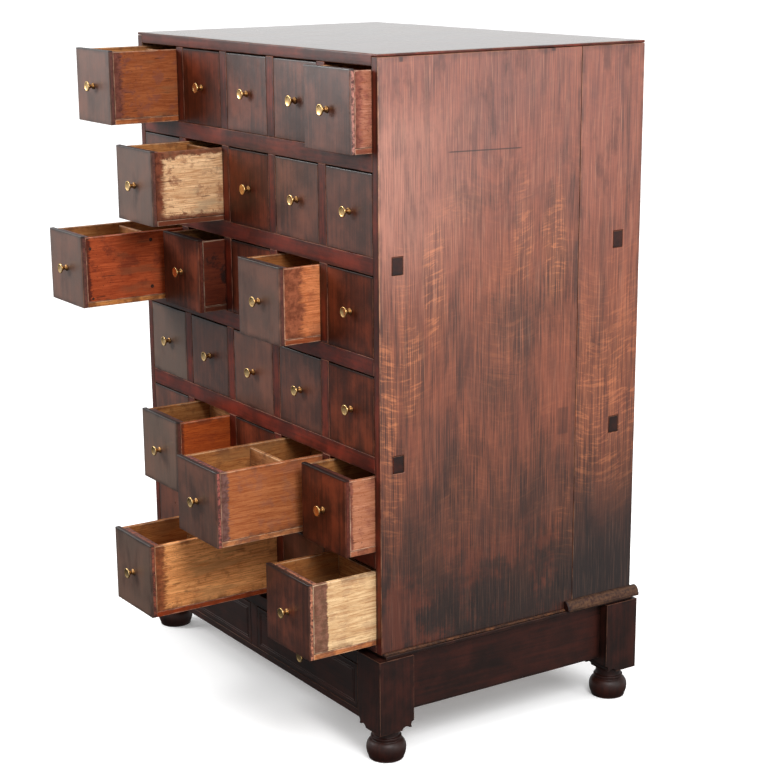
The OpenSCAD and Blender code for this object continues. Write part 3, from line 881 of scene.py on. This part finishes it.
def drawer_front(name, low, high, wall, look, grooves=(), holes=()):
    """The front board: a lip over the ends of the sides, and a thicker middle let in behind it."""
    piece = Piece(name, "front", name)
    (x0, y0, z0), (x1, _, z1) = low, high
    boxes = [(low, (x1, y0 + LIP, z1)),
             ((x0 + wall + GLUE, y0, z0 + FLOOR_T + GLUE), (x1 - wall - GLUE, y0 + FRONT_T, z1 - SIDE_DROP))]
    holes = list(holes)
    for inset in grooves:
        a, b, c, d = x0 + inset, x1 - inset, z0 + inset, z1 - inset
        for left, foot, right, head in ((a, c, b, c + GROOVE_W), (a, d - GROOVE_W, b, d),
                                        (a, c, a + GROOVE_W, d), (b - GROOVE_W, c, b, d)):
            holes.append(((left, y0 - 1, foot), (right, y0 + GROOVE_D, head)))
    material = "base" if grooves else "front" if look.tone[1] < DULL_FROM else "dull_front"
    add_solid(piece, boxes, material, 0 if grooves else 2, look, holes=holes, ease=1.0, pitch=18, wobble=0.25)
    piece.make("base_wood" if grooves else "drawer_front_wood")


# Radius and distance from the face along a knob, in millimetres.
KNOB = [(0, 0.05), (5.6, 0.05), (5.9, 0.4), (5.9, 1.2), (5.4, 1.7), (4.5, 2.1), (3.9, 2.7), (3.5, 3.5),
        (3.4, 4.4), (3.5, 5.4), (3.9, 6.6), (4.7, 8.0), (5.9, 9.3), (7.4, 10.4), (8.7, 11.3), (9.25, 12.0), (9.45, 12.7),
        (9.4, 13.2), (9.0, 13.8), (8.5, 13.98), (7.4, 13.9), (6.8, 13.6), (5.0, 13.4), (2.0, 13.25), (0, 13.2)]


def knob(name, middle):
    piece = Piece(name, "knob", name)
    lathe(piece, KNOB, middle, (0, -1, 0), "brass", segments=40, grain=1)
    piece.make("knob_brass")


def drawer_corners(name, knob_l=KNOB_L):
    """Corners of a drawer without its knob, and the middle of its face."""
    low, high = box(name)
    low = low + (0, knob_l, 0)
    return low, high, ((low[0] + high[0]) / 2, low[1], (low[2] + high[2]) / 2)


def make_drawer(tag):
    name = "drawer_" + tag
    has_knob = tag != LOST_KNOB
    low, high, middle = drawer_corners(name, KNOB_L if has_knob else 0)
    wood, stain, strip, floor = OPEN_SIDES.get(
        tag, (SPARE_WOODS[rng.integers(len(SPARE_WOODS))], (112, 62, 42), (4, 3, 0.4), (170, 108, 68)))

    def side_look():
        return Look(rng.uniform((-1, 0, 0), (1, 1, 1)), wood, stain, strip, float(tag in BORDERED))

    def inside_look():
        return Look(tint=INSIDE_WOODS[rng.integers(len(INSIDE_WOODS))], stain=(96, 56, 32), strip=(0, 0, 0.7))

    drawer_front(name, low, high, WALL_T,
                 Look(front_tone(tag), LIP_WOODS.get(tag, PLAIN_LIP), (78, 36, 28), raw=1.0),
                 holes=() if has_knob else screw_hole(*middle))
    dividers = [DIVIDER_FIRST + k * DIVIDER_PITCH for k in range(DIVIDER_N)]
    drawer_box(name, low, high, WALL_T, REAR_DROP, dividers,
               (side_look, inside_look), Look((0, 0.5, 0.5), floor, stain, (0, 0, 0.8)),
               CHIPPED_BOTTOM.get(tag), NAILED.get(tag, ()))
    if has_knob:
        knob(name, middle)


def make_base_drawer(name):
    def look():
        return Look(tint=(172, 116, 74), stain=(110, 62, 42), strip=(3, 3, 0.4))

    low, high, middle = drawer_corners(name)
    drawer_front(name, low, high, BASE_WALL_T, Look((0, 0.3, 0.5), (90, 52, 40), (60, 32, 26), raw=1.0),
                 grooves=(9.0, 13.0))
    drawer_box(name, low, high, BASE_WALL_T, REAR_DROP - SIDE_DROP, [], (look, look), look())
    knob(name, middle)


def make_drawers():
    for row in range(1, ROWS + 1):
        for col in range(1, COLS + 1):
            make_drawer(f"r{row}c{col}")
    for hand in ("left", "right"):
        make_base_drawer("base_drawer_" + hand)


# ---------------------------------------------------------------- cabinet

CARCASE = "carcase_wood"
INNER = HALF_W - SIDE_T


def begin(node):
    """A piece for one node of the cabinet, with the node's lowest corner, highest corner and size."""
    low, high = box(node)
    return Piece(node), low, high, high - low


def whole_board(node, material, grain, slot, look=None, **shape):
    """A node that is one plain board."""
    piece, low, _, size = begin(node)
    board(piece, low, size, material, grain, look, **shape)
    piece.make(slot)


def make_top():
    piece, low, high, _ = begin("top_board")
    boxes = [((low[0], low[1], high[2] - TOP_LAP), high),
             ((-INNER + GLUE, low[1], low[2]), (INNER - GLUE, high[1], high[2] - TOP_LAP))]
    add_solid(piece, boxes, "top", 0, Look((0.2, 0.2, 0.9)), ease=1.6, pitch=24, wobble=0.35,
              ends={(1, -1): "carcase", (0, 1): "carcase", (0, -1): "carcase"})
    piece.make(CARCASE)


def make_side(hand, side, part):
    """A front or rear board of one side, with the mortises that two shelves' tenons come through."""
    front = part == "front"
    piece, low, high, _ = begin(f"{side}_side_{part}_board")
    tenon_y = FRONT_Y + (TENON_FRONT_Y if front else TENON_REAR_Y)
    holes = []
    for k in TENONED:
        rail_low, rail_high = box(f"shelf_{k}")
        holes.append(((low[0] - 1, tenon_y - MORTISE_GAP, rail_low[2] - MORTISE_GAP),
                      (high[0] + 1, tenon_y + TENON_W + MORTISE_GAP, rail_high[2] + MORTISE_GAP)))
    look = Look((0.0, 0.3, 1.0), raw=1.0) if front else Look((-0.1, 0.9, 0.2))
    add_solid(piece, [(low, high)], side + "_side", 2, look, holes=holes, ease=1.2, pitch=26, wobble=0.45,
              ends={(0, -hand): "plain", (1, -1): "carcase"})
    piece.make("side_wood")


def make_back():
    piece, low, high, size = begin("back_boards")
    height = (size[2] + GLUE) / BACK_PLANKS
    for k in range(BACK_PLANKS):
        z = low[2] + k * height
        board(piece, (low[0], low[1], z), (size[0], size[1], height - GLUE), "plain", 0,
              wobble=0.7, ease=1.6, pitch=24)
        for x in (low[0] + 14, high[0] - 14, 0):
            for up in (0.2, 0.8):
                at = (x + rng.uniform(-3, 3), high[1] - 0.4, z + up * height + rng.uniform(-5, 5))
                nail(piece, at, (0, 1, 0))
    piece.make("back_wood")


def make_shelf(k):
    """Two rails with a dust board between them. The rails of some shelves have tenons through the sides."""
    piece, low, high, _ = begin(f"shelf_{k}")
    back_low, back_high = box("back_boards")
    inner_back = BACK_Y - (back_high[1] - back_low[1])
    tenoned = k in TENONED
    for y, depth, tenon_y in ((FRONT_Y, RAIL_D, TENON_FRONT_Y),
                              (inner_back - RAIL_D, RAIL_D - GLUE, TENON_REAR_Y)):
        boxes = [((-INNER + GLUE, y, low[2]), (INNER - GLUE, y + depth, high[2]))]
        if tenoned:
            boxes.append(((-HALF_W, FRONT_Y + tenon_y, low[2]), (HALF_W, FRONT_Y + tenon_y + TENON_W, high[2])))
        add_solid(piece, boxes, "carcase", 0, Look((rng.uniform(-0.5, 0.6), rng.uniform(0.2, 1), 0.8)),
                  ends={(0, -1): "base", (0, 1): "base"} if tenoned else None, ease=0.9, pitch=28, wobble=0.25)
    board(piece, (-INNER + GLUE, FRONT_Y + RAIL_D + GLUE, high[2] - DUST_T),
          (2 * (INNER - GLUE), inner_back - FRONT_Y - 2 * RAIL_D - 2 * GLUE, DUST_T), "plain", 0, pitch=60)
    piece.make(CARCASE)


def make_partitions(row):
    piece, low, _, size = begin(f"partitions_row_{row}")
    first, second = box(f"drawer_r{row}c1"), box(f"drawer_r{row}c2")
    pitch = second[0][0] - first[0][0]
    width = pitch - (first[1][0] - first[0][0]) - 2 * PARTITION_GAP
    for c in range(COLS - 1):
        board(piece, low + (c * pitch, 0, 0), (width, size[1], size[2]), "carcase", 2,
              Look((rng.uniform(-0.6, 0.4), rng.uniform(0.3, 1), 0.9)), ease=0.9, pitch=34, wobble=0.2)
    piece.make(CARCASE)


def quarter_round(outer_w, height):
    """Moulding outline outward from the carcase: a fillet, then a quarter round."""
    fillet = MOULDING_FILLET
    r = height - fillet
    return [(0, 0), (outer_w - 0.5, 0), (outer_w, 0.5), (outer_w, fillet - 0.6), (outer_w - 0.5, fillet),
            *((r * math.cos(t), fillet + r * math.sin(t)) for t in np.linspace(0.03, math.pi / 2 - 0.05, 12)),
            (0, height)]


# Radius and height of a bun foot and the stub over it, in millimetres.
BUN = [(0, 0), (29.2, 0), (30.5, 0.4), (30.9, 1.4), (30.6, 2.8), (30.9, 3.8), (32.4, 6.4), (33.8, 10),
       (34.7, 14.4), (35, 19), (34.7, 23.4), (33.6, 27.6), (31.6, 31.2), (29.2, 33.6), (27.2, 34.8),
       (25.6, 35.5), (26.2, 36.3), (27, 37.2), (27, 40.6), (26.4, 41.6), (24.0, 42.4), (23, 43.4), (23, 56.2)]


def make_base():
    whole_board("base_top_frame", "base", 0, "base_wood", pitch=60)
    whole_board("centre_stile", "base", 2, "base_wood")
    whole_board("back_apron", "plain", 0, "back_wood", wobble=0.5, ease=1.4)
    whole_board("runner_boards", "plain", 0, "back_wood", pitch=60)
    whole_board("bottom_board", "carcase", 0, CARCASE, pitch=60)

    piece = Piece("corner_posts")
    from_cad(piece, "base", 2, Look((0.1, 0.4, 1.0)), 1.1)
    piece.make("base_wood")

    piece, low, high, size = begin("front_rails")
    stile_low, stile_high = box("centre_stile")
    for foot, head, tone in ((low[2], stile_low[2] - GLUE, (0.7, 0.8, 1.0)),
                             (stile_high[2] + GLUE, high[2], (0.1, 0.4, 0.8))):
        board(piece, (low[0], low[1], foot), (size[0], size[1], head - foot), "base", 0, Look(tone), wobble=0.3)
    piece.make("base_wood")

    piece, low, high, size = begin("side_aprons")
    for x in (low[0], high[0] - APRON_T):
        board(piece, (x, low[1], low[2]), (APRON_T, size[1], size[2]), "base", 1, Look((0.1, 0.6, 0.7)),
              wobble=0.5, pitch=22)
    piece.make("base_wood")

    piece, low, high, size = begin("left_moulding")
    outline = [(HALF_W + GLUE + x, low[2] + z) for x, z in quarter_round(size[0], size[2])]
    sweep(piece, outline, low[1], high[1], "base", mirror=True)
    piece.make("base_wood")

    # The right moulding has broken off in front, which leaves the ledge it was nailed to.
    piece, low, high, _ = begin("right_moulding")
    break_y = FRONT_Y + MOULDING_BREAK
    sweep(piece, outline, break_y, high[1], "base", Look((1.0, 1.0, 1.0), (92, 62, 40), (52, 28, 19), raw=0.75))
    board(piece, low, (7.0, break_y - GLUE - low[1], LEDGE_H), "base", 1,
          Look((0.6, 1.0, 1.0), (112, 70, 42), (56, 32, 21), raw=0.8), ease=1.4, pitch=7, wobble=1.3)
    piece.make("base_wood")

    piece, low, high, _ = begin("bun_feet")
    profile = [*BUN, (22.6, high[2]), (0, high[2])]
    r = FOOT_D / 2
    for x in (low[0] + r, high[0] - r):
        for y in (low[1] + r, high[1] - r):
            lathe(piece, profile, (x, y, 0), (0, 0, 1), "base", Look((0.2, 0.5, 1.0)), segments=56, wave=0.006)
    piece.make("base_wood")


make_drawers()
make_top()
for hand, side in ((-1, "left"), (1, "right")):
    for part in ("front", "rear"):
        make_side(hand, side, part)
make_back()
for k in range(1, ROWS):
    make_shelf(k)
for row in range(1, ROWS + 1):
    make_partitions(row)
make_base()


# ---------------------------------------------------------------- studio

# The photo's camera: yaw, pitch and roll in degrees, its place in metres, and its lens in millimetres.
CAMERA_ANGLES = (-57.3137, -15.0601, -0.5979)
CAMERA_PLACE = (2.9234, -1.7876, 1.3975)
CAMERA_LENS, SENSOR_W = 88.71, 36.0
CAMERA_SHIFT = (0.0293, 0.0625)

# Lights: place, target and width in metres, and watts.
LIGHTS = {
    "key": ((-1.6, -1.8, 1.6), (-0.1, -0.4, 0.8), 0.9, 38),
    "side": ((2.2, -0.5, 2.0), (0.4, -0.3, 0.95), 1.2, 46),
    "right_rear": ((3.0, 1.25, 1.25), (0.42, -0.1, 0.95), 1.6, 22),
}

# Brightness of the studio by the height of a direction: dim below the horizon, brightest overhead.
SKY = ((-0.36, 0.1), (-0.10, 1.0), (0.0, 1.0), (0.06, 0.86), (0.3, 0.55), (0.6, 0.6), (0.85, 1.9))
# Directions below the horizon that are dimmer or brighter: the direction, its cosine's limits and the change.
SIDE_LOBES = (((-0.3, -0.95, 0.0), (0.15, 0.9), -0.6), ((-0.93, -0.34, -0.15), (0.8, 0.97), 0.1))

FLOOR_REACH, FLOOR_Z = 45.0, -0.0005


def make_floor():
    """A pale sheet that lies flat under the cabinet and far around it."""
    mesh = bpy.data.meshes.new("floor")
    work = bmesh.new()
    bmesh.ops.create_grid(work, x_segments=8, y_segments=8, size=FLOOR_REACH)
    work.to_mesh(mesh)
    work.free()
    net = Material("floor_paper")
    fleck = net.noise(net.node("TexCoord", {}, "Object"), 3.0)
    shade = net.mix(fleck.ramp(0.3, 0.7, 0.0, 0.03), (0.95, 0.95, 0.95, 1.0), (0.8, 0.8, 0.8, 1.0))
    net.set(net.shader.inputs["Emission Color"], (1.0, 1.0, 1.0, 1.0))
    net.set(net.shader.inputs["Emission Strength"], 0.2)
    mesh.materials.append(net.finish(shade, 0.75, net.bump(fleck, 0.01, 0.001), specular=0.2))
    floor = bpy.data.objects.new("floor", mesh)
    floor.location.z = FLOOR_Z
    floor.visible_diffuse = False
    floor.visible_glossy = False
    bpy.context.scene.collection.objects.link(floor)


def area_light(name, place, target, size, power):
    light = bpy.data.lights.new(name, "AREA")
    light.shape = "DISK"
    light.size = size
    light.energy = power
    obj = bpy.data.objects.new(name, light)
    obj.visible_camera = False
    obj.location = place
    obj.rotation_euler = (Vector(target) - Vector(place)).to_track_quat("-Z", "Y").to_euler()
    bpy.context.scene.collection.objects.link(obj)


def make_camera():
    yaw, pitch, roll = (math.radians(a) for a in CAMERA_ANGLES)
    forward = Vector((math.cos(pitch) * math.sin(yaw), math.cos(pitch) * math.cos(yaw), math.sin(pitch)))
    right = Vector((math.cos(yaw), -math.sin(yaw), 0))
    up = right.cross(forward)
    right, up = (math.cos(roll) * right + math.sin(roll) * up, math.cos(roll) * up - math.sin(roll) * right)
    data = bpy.data.cameras.new("camera")
    data.lens, data.sensor_width = CAMERA_LENS, SENSOR_W
    data.shift_x, data.shift_y = CAMERA_SHIFT
    camera = bpy.data.objects.new("camera", data)
    turn = Matrix((right, up, -forward)).transposed().to_4x4()
    camera.matrix_world = Matrix.Translation(CAMERA_PLACE) @ turn
    bpy.context.scene.collection.objects.link(camera)
    bpy.context.scene.camera = camera


def make_world():
    world = bpy.data.worlds.new("studio")
    world.use_nodes = True
    net = Net(world.node_tree)
    direction = net.node("TexCoord", {}, "Generated")
    height = net.xyz(direction)[2]
    (low, start), (high, end) = SKY[:2]
    level = height.ramp(low, high, start, end)
    for (low, start), (high, end) in zip(SKY[1:], SKY[2:]):
        level = level + height.ramp(low, high, 0.0, end - start)
    below = height.ramp(-0.08, 0.0, 1.0, 0.0)
    for lobe, (low, high), change in SIDE_LOBES:
        facing = net.node("VectorMath", {0: direction, 1: lobe}, "Value", operation="DOT_PRODUCT")
        level = level + level * (below * facing.ramp(low, high, 0.0, change))
    background = world.node_tree.nodes["Background"].inputs
    net.set(background["Strength"], level)
    net.set(background["Color"], (1.0, 1.0, 1.0, 1.0))
    bpy.context.scene.world = world


make_floor()
make_world()
for light, values in LIGHTS.items():
    area_light(light, *values)
make_camera()
bpy.context.scene.view_settings.view_transform = "Standard"
